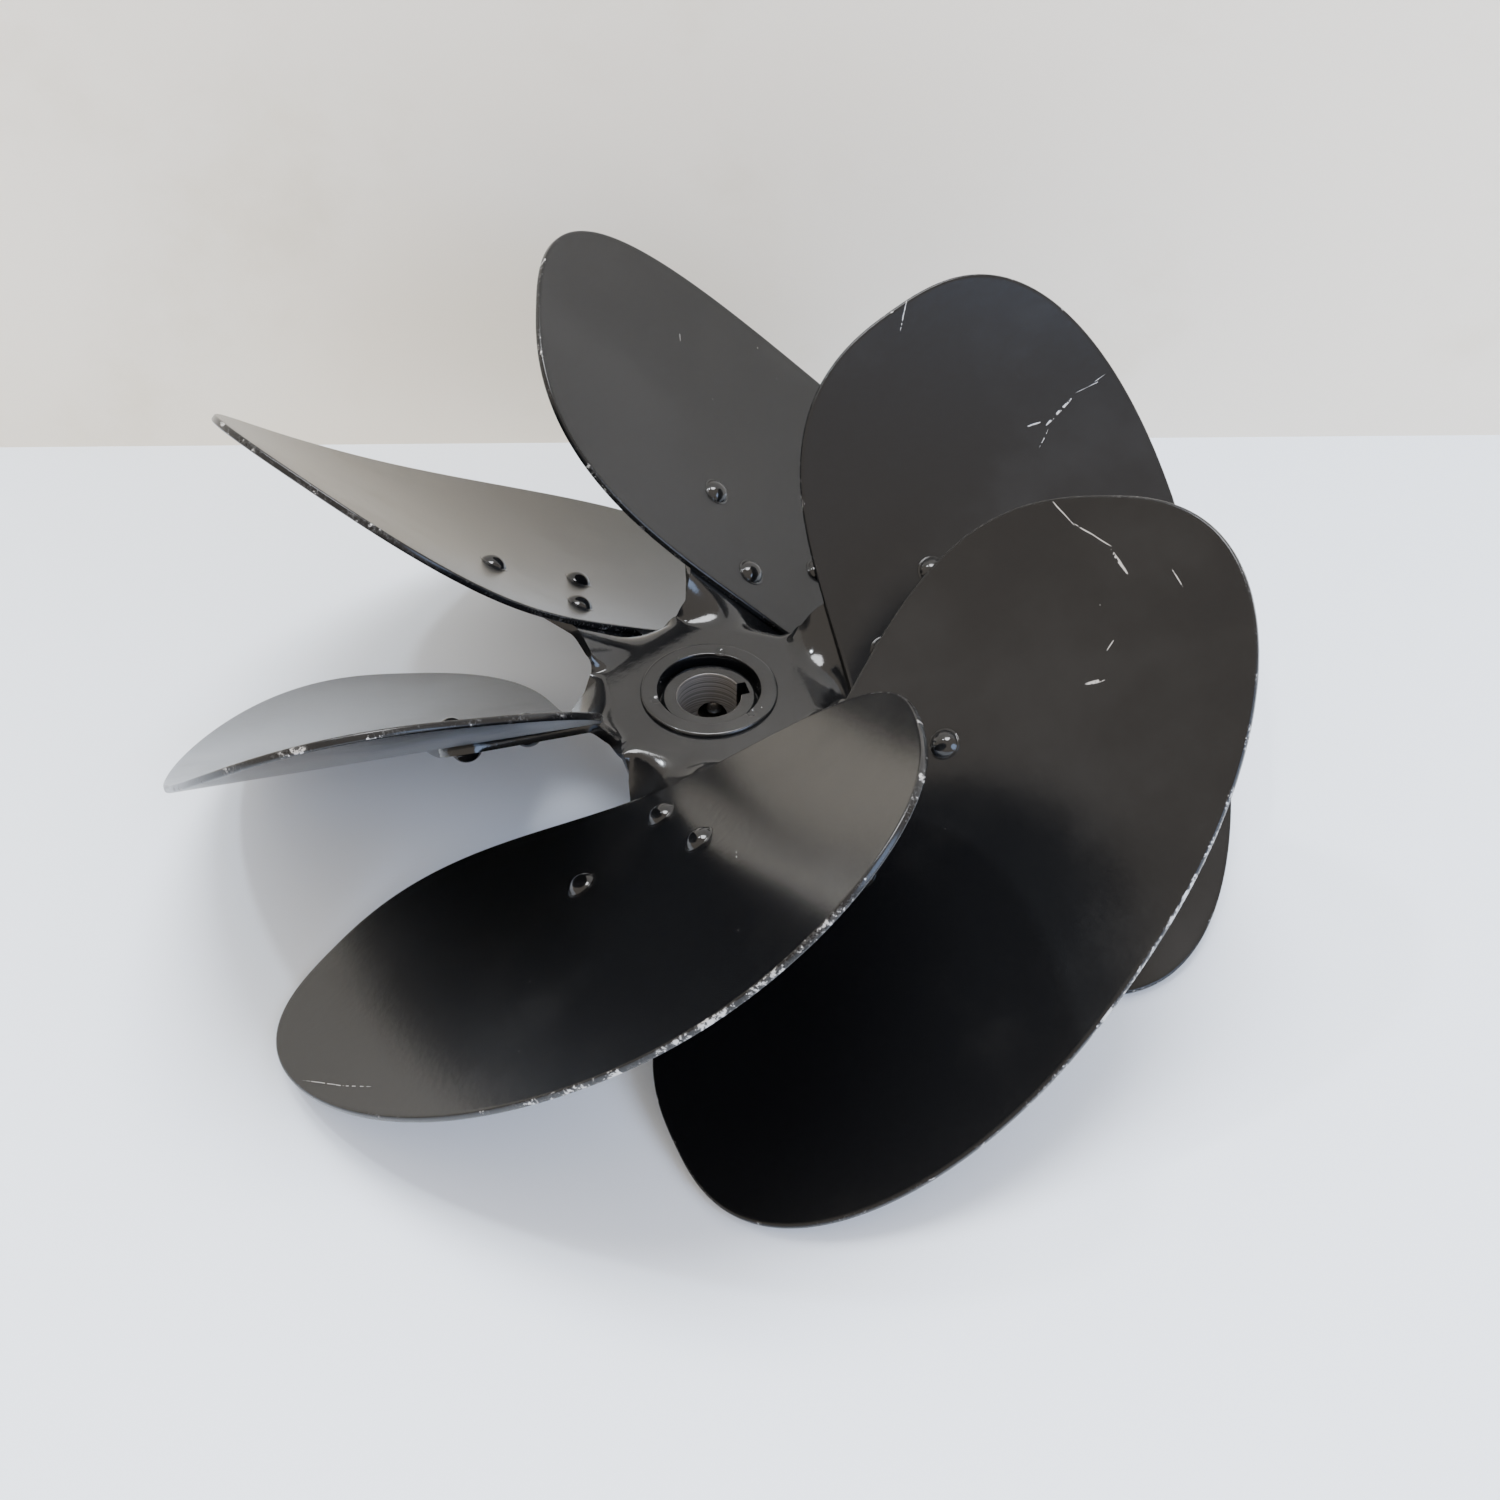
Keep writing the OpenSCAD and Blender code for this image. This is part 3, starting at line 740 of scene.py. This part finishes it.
def makeSpider():
    across = np.sin(np.linspace(-np.pi / 2, np.pi / 2, 31))
    cols = len(across)
    half = np.radians(180 / rotor["arms"])
    plan, joined = armPlan()
    start = plan[0, 0]
    bearing = np.arctan(across * np.tan(half))
    rowsU, rowsV = [], []
    for share in np.linspace(0, 1, 7)[:-1]:
        r = plate["hole"] + (start / np.cos(bearing) - plate["hole"]) * share
        rowsU.append(r * np.cos(bearing))
        rowsV.append(r * np.sin(bearing))
    flatRows = len(rowsU)
    for u, v in plan:
        rowsU.append(np.full(cols, u))
        rowsV.append(v * across)
    u, v = np.array(rowsU), np.array(rowsV)
    shared = flatRows + joined
    points = twistedPoint(u.ravel(), v.ravel())
    quads = gridQuads(len(u), cols, False)
    allPoints = np.concatenate([points @ aboutZ(k * 360 / rotor["arms"]).T for k in range(rotor["arms"])])
    allQuads = np.concatenate([quads + k * len(points) for k in range(rotor["arms"])])
    # joined arms share the points of their border: the last column of one is the first of the next
    number = np.arange(len(allPoints)).reshape(rotor["arms"], len(u), cols)
    number[:, :shared, -1] = np.roll(number[:, :shared, 0], -1, 0)
    spider = makePiece("stampedSpider", allPoints, number.ravel()[allQuads])
    faceOutward(spider)
    solid = spider.modifiers.new("thickness", "SOLIDIFY")
    solid.thickness = rotor["plateThickness"]
    solid.offset = 0.0
    bevel = spider.modifiers.new("roundEdges", "BEVEL")
    bevel.width = plate["edgeRound"]
    bevel.segments = 3
    bevel.limit_method = "ANGLE"
    bevel.angle_limit = np.radians(60)
    return spider


spider = makeSpider()
spider.data.materials.append(spiderPaint)
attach(spider, "rotor")
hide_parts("spider")
print("spider made")


hubShape = {
    "bore": 0.011,
    "length": 0.038,
    "barrel": 0.0195,
    "shoulder": 0.025,
    "shoulderLow": -0.0061,
    "shoulderTop": -0.00112,
    "neck": 0.020,
    "lipLow": 0.00192,
    "lipTop": 0.0034,
    "lipIn": 0.0178,
    "lipOut": 0.0236,
    "boss": 0.0161,
    "groove": -0.005,
    "keyWidth": 0.006,
    "keyDepth": 0.0028,
    "stakeTurn": 62,
    "stakeAt": 0.0190,
    "stakeRadius": 0.00125,
    "stakeDepth": 0.00045,
    "steps": 300,
}
screwPlan = {
    "radius": 0.00394,
    "length": 0.008,
    "depth": 0.0176,
    "turn": 68,
    "backedOut": 0.0006,
    "pitch": 0.00125,
    "hole": 0.004,
    "holeEnds": (0.009, 0.021),
    "funnel": (0.0059, 0.0117),
    "noseRadius": 0.0030,
    "noseLength": 0.0016,
    "threadDepth": 0.00035,
    "socket": 0.00195,
    "steps": 72,
}


# a closed half section of (radius, height, corner radius): each corner becomes an arc of that radius
def roundedProfile(corners, steps=5):
    line = []
    for i, (r, z, radius) in enumerate(corners):
        here = np.array([r, z])
        before = np.array(corners[i - 1][:2]) - here
        after = np.array(corners[(i + 1) % len(corners)][:2]) - here
        before, after = before / np.hypot(*before), after / np.hypot(*after)
        opening = np.arccos(np.clip(before @ after, -1, 1))
        if radius == 0:
            line.append(here)
            continue
        back = radius / np.tan(opening / 2)
        start, end = here + back * before, here + back * after
        centre = here + (before + after) / np.hypot(*(before + after)) * radius / np.sin(opening / 2)
        first = np.arctan2(*(start - centre)[::-1])
        swing = (np.arctan2(*(end - centre)[::-1]) - first + np.pi) % (2 * np.pi) - np.pi
        a = first + swing * np.linspace(0, 1, steps)
        line.extend(centre + radius * np.stack([np.cos(a), np.sin(a)], -1))
    return np.array(line)


# extra points so that no step of the profile is longer than the given length
def denser(line, longest):
    out = []
    for here, there in zip(line, np.roll(line, -1, 0)):
        steps = max(1, int(np.ceil(np.hypot(*(there - here)) / longest)))
        out.extend(here + (there - here) * share for share in np.linspace(0, 1, steps, endpoint=False))
    return np.array(out)


def makeOutward(name, points, quads, tris=None):
    piece = makePiece(name, points, quads, tris)
    faceOutward(piece)
    return piece


def makeHub():
    h = hubShape
    section = roundedProfile([
        (h["bore"], -h["length"], 0.0003), (h["barrel"], -h["length"], 0.0009),
        (h["barrel"], h["shoulderLow"], 0.0006), (h["shoulder"], h["shoulderLow"], 0.0006),
        (h["shoulder"], h["shoulderTop"], 0.0004), (h["neck"], h["shoulderTop"], 0),
        (h["neck"], h["lipLow"], 0), (h["lipOut"], h["lipLow"], 0.0005),
        (h["lipOut"], h["lipTop"], 0.0008), (h["lipIn"], h["lipTop"], 0.0005),
        (h["lipIn"], h["groove"], 0.0007), (h["boss"], h["groove"], 0.0007),
        (h["boss"], 0, 0.0009), (h["bore"], 0, 0.0005)])
    section = denser(section, 0.0007)
    cols = h["steps"]
    a = np.linspace(0, 2 * np.pi, cols, endpoint=False)
    r = np.repeat(section[:, :1], cols, 1)
    z = np.repeat(section[:, 1:], cols, 1)
    # three stake marks: a ring-shaped dent on the lip's inner edge, open towards the shaft
    onLip = smoothStep((z - 0.0012) / 0.0012)
    for mark in range(3):
        turn = np.radians(h["stakeTurn"] + 120 * mark)
        stake = h["stakeAt"] * np.array([np.cos(turn), np.sin(turn)])
        gap = np.hypot(r * np.cos(a) - stake[0], r * np.sin(a) - stake[1])
        ringDent = h["stakeDepth"] * np.exp(-((gap - h["stakeRadius"]) / 0.00035) ** 2)
        z = z - onLip * (ringDent + 0.00012 * np.exp(-(gap / 0.0009) ** 2))
    points = np.stack([r * np.cos(a), r * np.sin(a), z], -1).reshape(-1, 3)
    rows = len(section)
    quads = gridQuads(rows, cols, True)
    c = np.arange(cols)
    closing = np.stack([(rows - 1) * cols + c, (rows - 1) * cols + (c + 1) % cols, (c + 1) % cols, c], -1)
    hub = makePiece("turnedHub", points, np.concatenate([quads, closing]))
    faceOutward(hub)
    w, d = h["keyWidth"] / 2, h["bore"] + h["keyDepth"]
    past = 0.002
    ends = (-h["length"] - past, past)
    box = np.array([[x, y, z] for x in (h["bore"] / 2, d) for y in (-w, w) for z in ends])
    sides = np.array([[0, 1, 3, 2], [4, 6, 7, 5], [0, 4, 5, 1], [2, 3, 7, 6], [0, 2, 6, 4], [1, 5, 7, 3]])
    keyway = makeOutward("keywayCutter", box, sides)
    # the screw's hole: a funnel in the bore's wall, then a straight bore
    near, end = screwPlan["holeEnds"]
    mouth, neck = screwPlan["funnel"]
    hole = np.array([[near, mouth], [neck, screwPlan["hole"]], [end, screwPlan["hole"]]])
    turns = 64
    b = np.linspace(0, 2 * np.pi, turns, endpoint=False)
    ring = np.stack([np.repeat(hole[:, :1], turns, 1), hole[:, 1:] * np.cos(b), hole[:, 1:] * np.sin(b)], -1)
    ring = np.concatenate([ring.reshape(-1, 3), [[near, 0, 0], [end, 0, 0]]])
    ring = ring @ aboutZ(screwPlan["turn"]).T - [0, 0, screwPlan["depth"]]
    fans = [poleFan(0, turns, 3 * turns, False), poleFan(2 * turns, turns, 3 * turns + 1, True)]
    screwHole = makeOutward("screwHoleCutter", ring, gridQuads(3, turns, True), np.concatenate(fans))
    for cutter in (keyway, screwHole):
        part = hub.modifiers.new(cutter.name, "BOOLEAN")
        part.object = cutter
        part.operation = "DIFFERENCE"
        part.solver = "EXACT"
    bpy.context.view_layer.update()
    finished = bpy.data.meshes.new_from_object(hub.evaluated_get(bpy.context.evaluated_depsgraph_get()))
    hub.modifiers.clear()
    hub.data = finished
    for cutter in (keyway, screwHole):
        bpy.data.objects.remove(cutter)
    finished.set_sharp_from_angle(angle=np.radians(38))
    return hub


# the screw lies along +x from its point: rounded nose, helical thread, chamfer, then down into the socket
def makeScrew():
    s = screwPlan
    cols = s["steps"]
    a = np.linspace(0, 2 * np.pi, cols, endpoint=False)
    nose = np.linspace(0.05, 1, 9)
    noseX = s["noseLength"] * (1 - np.sqrt(1 - (0.98 * nose) ** 2))
    noseR = s["noseRadius"] * nose
    bodyX = np.linspace(0.0019, s["length"] - 0.0004, 90)
    rows = [np.full(cols, r) for r in noseR]
    xs = list(noseX)
    for x in bodyX:
        turn = (x / s["pitch"] - a / (2 * np.pi)) % 1
        cut = s["threadDepth"] * (1 - np.abs(2 * turn - 1)) * smoothStep((s["length"] - 0.0006 - x) / 0.0008)
        rows.append(np.full(cols, s["radius"]) - cut - 0.0006 * smoothStep((0.0026 - x) / 0.0008))
        xs.append(x)
    hexagon = s["socket"] / np.cos((a + np.pi / 6) % (np.pi / 3) - np.pi / 6)
    for r, x in ((0.0035, s["length"] - 0.00006), (0.0030, s["length"] - 0.00004)):
        rows.append(np.full(cols, r))
        xs.append(x)
    floor = s["length"] / 2
    top = s["length"]
    for grow, x in ((1.12, top - 0.00006), (1.0, top - 0.0003), (1.0, floor + 0.0004), (0.6, floor)):
        rows.append(hexagon * grow)
        xs.append(x)
    r = np.array(rows)
    x = np.repeat(np.array(xs)[:, None], cols, 1)
    points = np.stack([x, r * np.cos(a), r * np.sin(a)], -1).reshape(-1, 3)
    count = len(points)
    points = np.concatenate([points, [[0.00003, 0, 0], [floor, 0, 0]]])
    points[:, 0] += hubShape["bore"] + s["backedOut"]
    points = points @ aboutZ(s["turn"]).T - [0, 0, s["depth"]]
    fans = np.concatenate([poleFan(0, cols, count, False), poleFan(count - cols, cols, count + 1, True)])
    screw = makeOutward("socketScrew", points, gridQuads(len(rows), cols, True), fans)
    screw.data.set_sharp_from_angle(angle=np.radians(50))
    return screw


hub = makeHub()
hub.data.materials.append(hubPaint)
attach(hub, "rotor")
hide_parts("hub")
screw = makeScrew()
screw.data.materials.append(screwSteel)
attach(screw, "screw")
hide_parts("set_screw")
print("hub made")


photoCamera = {
    "heading": -15.7,
    "distance": 0.7232,
    "rise": 41.68,
    "tilt": 43.374,
    "swing": 1.505,
    "roll": 0.399,
    "lens": 50.64,
}


def makeCamera():
    view = bpy.data.cameras.new("photoView")
    view.lens = photoCamera["lens"]
    view.sensor_width = 36
    view.clip_start = 0.01
    camera = bpy.data.objects.new("photoView", view)
    bpy.context.scene.collection.objects.link(camera)
    rise, tilt, swing, roll = (np.radians(photoCamera[key]) for key in ("rise", "tilt", "swing", "roll"))
    place = photoCamera["distance"] * np.array([0, -np.cos(rise), np.sin(rise)])
    ahead = np.array([np.sin(swing) * np.cos(tilt), np.cos(swing) * np.cos(tilt), -np.sin(tilt)])
    right = np.array([np.cos(swing), -np.sin(swing), 0.0])
    up = np.cross(right, ahead)
    side = np.cos(roll) * right + np.sin(roll) * up
    top = -np.sin(roll) * right + np.cos(roll) * up
    turn = aboutZ(photoCamera["heading"])
    axes = np.stack([turn @ side, turn @ top, turn @ -ahead], 1)
    spot = turn @ place + np.array([0, 0, rotor["ringTop"]])
    camera.matrix_world = Matrix.Translation(Vector(spot)) @ Matrix(axes.tolist()).to_4x4()
    bpy.context.scene.camera = camera


# azimuths are counted from +x, and the lens looks towards about 74 degrees
studio = {
    "reach": 4.0,
    "drop": 0.0002,
    "floorColour": (0.82, 0.885, 0.98, 1),
    "wallBack": 0.243,
    "wallSize": (1.6, 1.3),
    "wallColour": (0.88, 0.82, 0.71, 1),
    "wallStain": (0.78, 0.71, 0.58, 1),
    "roomColour": (0.86, 0.77, 0.67, 1),
    "roomStrength": 1.8,
    # name, azimuth, elevation, distance, size, power, colour
    "lamps": [
        ("coolPanel", -58, 24, 2.4, 1.5, 46, (0.42, 0.62, 1.0)),
        ("overheadPanel", 60, 84, 2.2, 1.2, 95, (0.95, 0.97, 1.0)),
        ("rightSpot", 12, 57, 1.8, 0.13, 13.0, (0.86, 0.93, 1.0)),
        ("leftSpot", 160, 66, 1.8, 0.11, 9.0, (0.86, 0.93, 1.0)),
    ],
}


def makePlane(name, corners, colour, roughness):
    piece = makePiece(name, np.array(corners, dtype=float), np.array([[0, 1, 2, 3]]))
    material, _, shader = newMaterial(name)
    shader.inputs["Base Color"].default_value = colour
    shader.inputs["Roughness"].default_value = roughness
    shader.inputs["Specular IOR Level"].default_value = 0.2
    piece.data.materials.append(material)
    return piece


# a round lamp that points at the hub, at an azimuth and elevation in degrees
def makeLamp(name, azimuth, elevation, distance, size, power, colour):
    lamp = bpy.data.lights.new(name, "AREA")
    lamp.shape = "DISK"
    lamp.size = size
    lamp.energy = power
    lamp.color = colour
    holder = bpy.data.objects.new(name, lamp)
    bpy.context.scene.collection.objects.link(holder)
    a, e = np.radians(azimuth), np.radians(elevation)
    place = distance * np.array([np.cos(a) * np.cos(e), np.sin(a) * np.cos(e), np.sin(e)])
    holder.location = place
    holder.rotation_euler = Vector(-place).to_track_quat("-Z", "Y").to_euler()


# the wall: seen from the front only, so that it never stands between the lens and the object
def makeWall(z, turn):
    back = studio["wallBack"]
    wide, tall = studio["wallSize"]
    corners = np.array([[-wide, back, z], [wide, back, z], [wide, back, z + tall], [-wide, back, z + tall]])
    wall = makePlane("paleWall", corners @ turn.T, studio["wallColour"], 0.6)
    tree = wall.data.materials[0].node_tree
    shader, out = tree.nodes["Principled BSDF"], tree.nodes["Material Output"]
    objectSpace = addNode(tree, "ShaderNodeTexCoord").outputs["Object"]
    stain = noiseNode(tree, objectSpace, 9.0, 6.0, 0.6).outputs["Fac"]
    tint = mixColor(tree, stepNode(tree, stain, 0.5, 0.8), studio["wallColour"], studio["wallStain"])
    tree.links.new(tint, shader.inputs["Base Color"])
    clear = addNode(tree, "ShaderNodeBsdfTransparent")
    side = addNode(tree, "ShaderNodeNewGeometry").outputs["Backfacing"]
    join = addNode(tree, "ShaderNodeMixShader")
    tree.links.new(side, join.inputs[0])
    tree.links.new(shader.outputs[0], join.inputs[1])
    tree.links.new(clear.outputs[0], join.inputs[2])
    tree.links.new(join.outputs[0], out.inputs["Surface"])


def makeStage():
    z = rotor["floor"] - studio["drop"]
    turn = aboutZ(photoCamera["heading"])
    reach = studio["reach"]
    floor = np.array([[-reach, -reach, z], [reach, -reach, z], [reach, reach, z], [-reach, reach, z]])
    makePlane("paleFloor", floor @ turn.T, studio["floorColour"], 0.5)
    makeWall(z, turn)
    world = bpy.data.worlds.new("softRoom")
    bpy.context.scene.world = world
    world.use_nodes = True
    sky = world.node_tree.nodes["Background"]
    sky.inputs["Color"].default_value = studio["roomColour"]
    sky.inputs["Strength"].default_value = studio["roomStrength"]
    for lamp in studio["lamps"]:
        makeLamp(*lamp)


makeCamera()
makeStage()
print("stage made")
